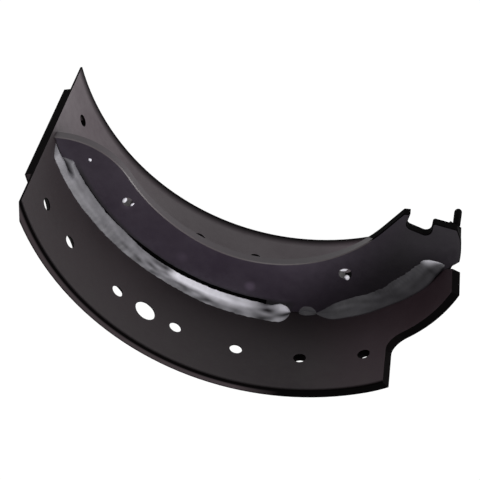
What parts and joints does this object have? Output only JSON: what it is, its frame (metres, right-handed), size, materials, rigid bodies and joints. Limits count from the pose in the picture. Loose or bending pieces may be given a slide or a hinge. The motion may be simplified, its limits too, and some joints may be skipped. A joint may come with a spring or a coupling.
{
  "type": "brake shoe",
  "caption": "Riveted-lining drum brake shoe without its lining: a wide curved plate with a single welded crescent web, open slot and spring holes.",
  "frame": {"origin": "middle of the lower side edge of the curved plate, at mid-thickness and at the middle of its full-width arc", "axes": "+Z along the drum axis, up from the edge the shoe stands on; +Y from the plate towards the drum axis; +X along the chord towards the slotted working end"},
  "size_m": [0.3156, 0.1559, 0.19],
  "materials": {
    "paint": "satin black dip paint with a brown tint",
    "weld": "thinly painted weld metal, streaky grey"
  },
  "bodies": {
    "root": {"table": "paint", "web": "paint", "long_bead": "weld", "short_bead": "weld", "long_bead_back": "weld", "short_bead_back": "weld", "spring_lug": "paint"}
  },
  "joints": []
}
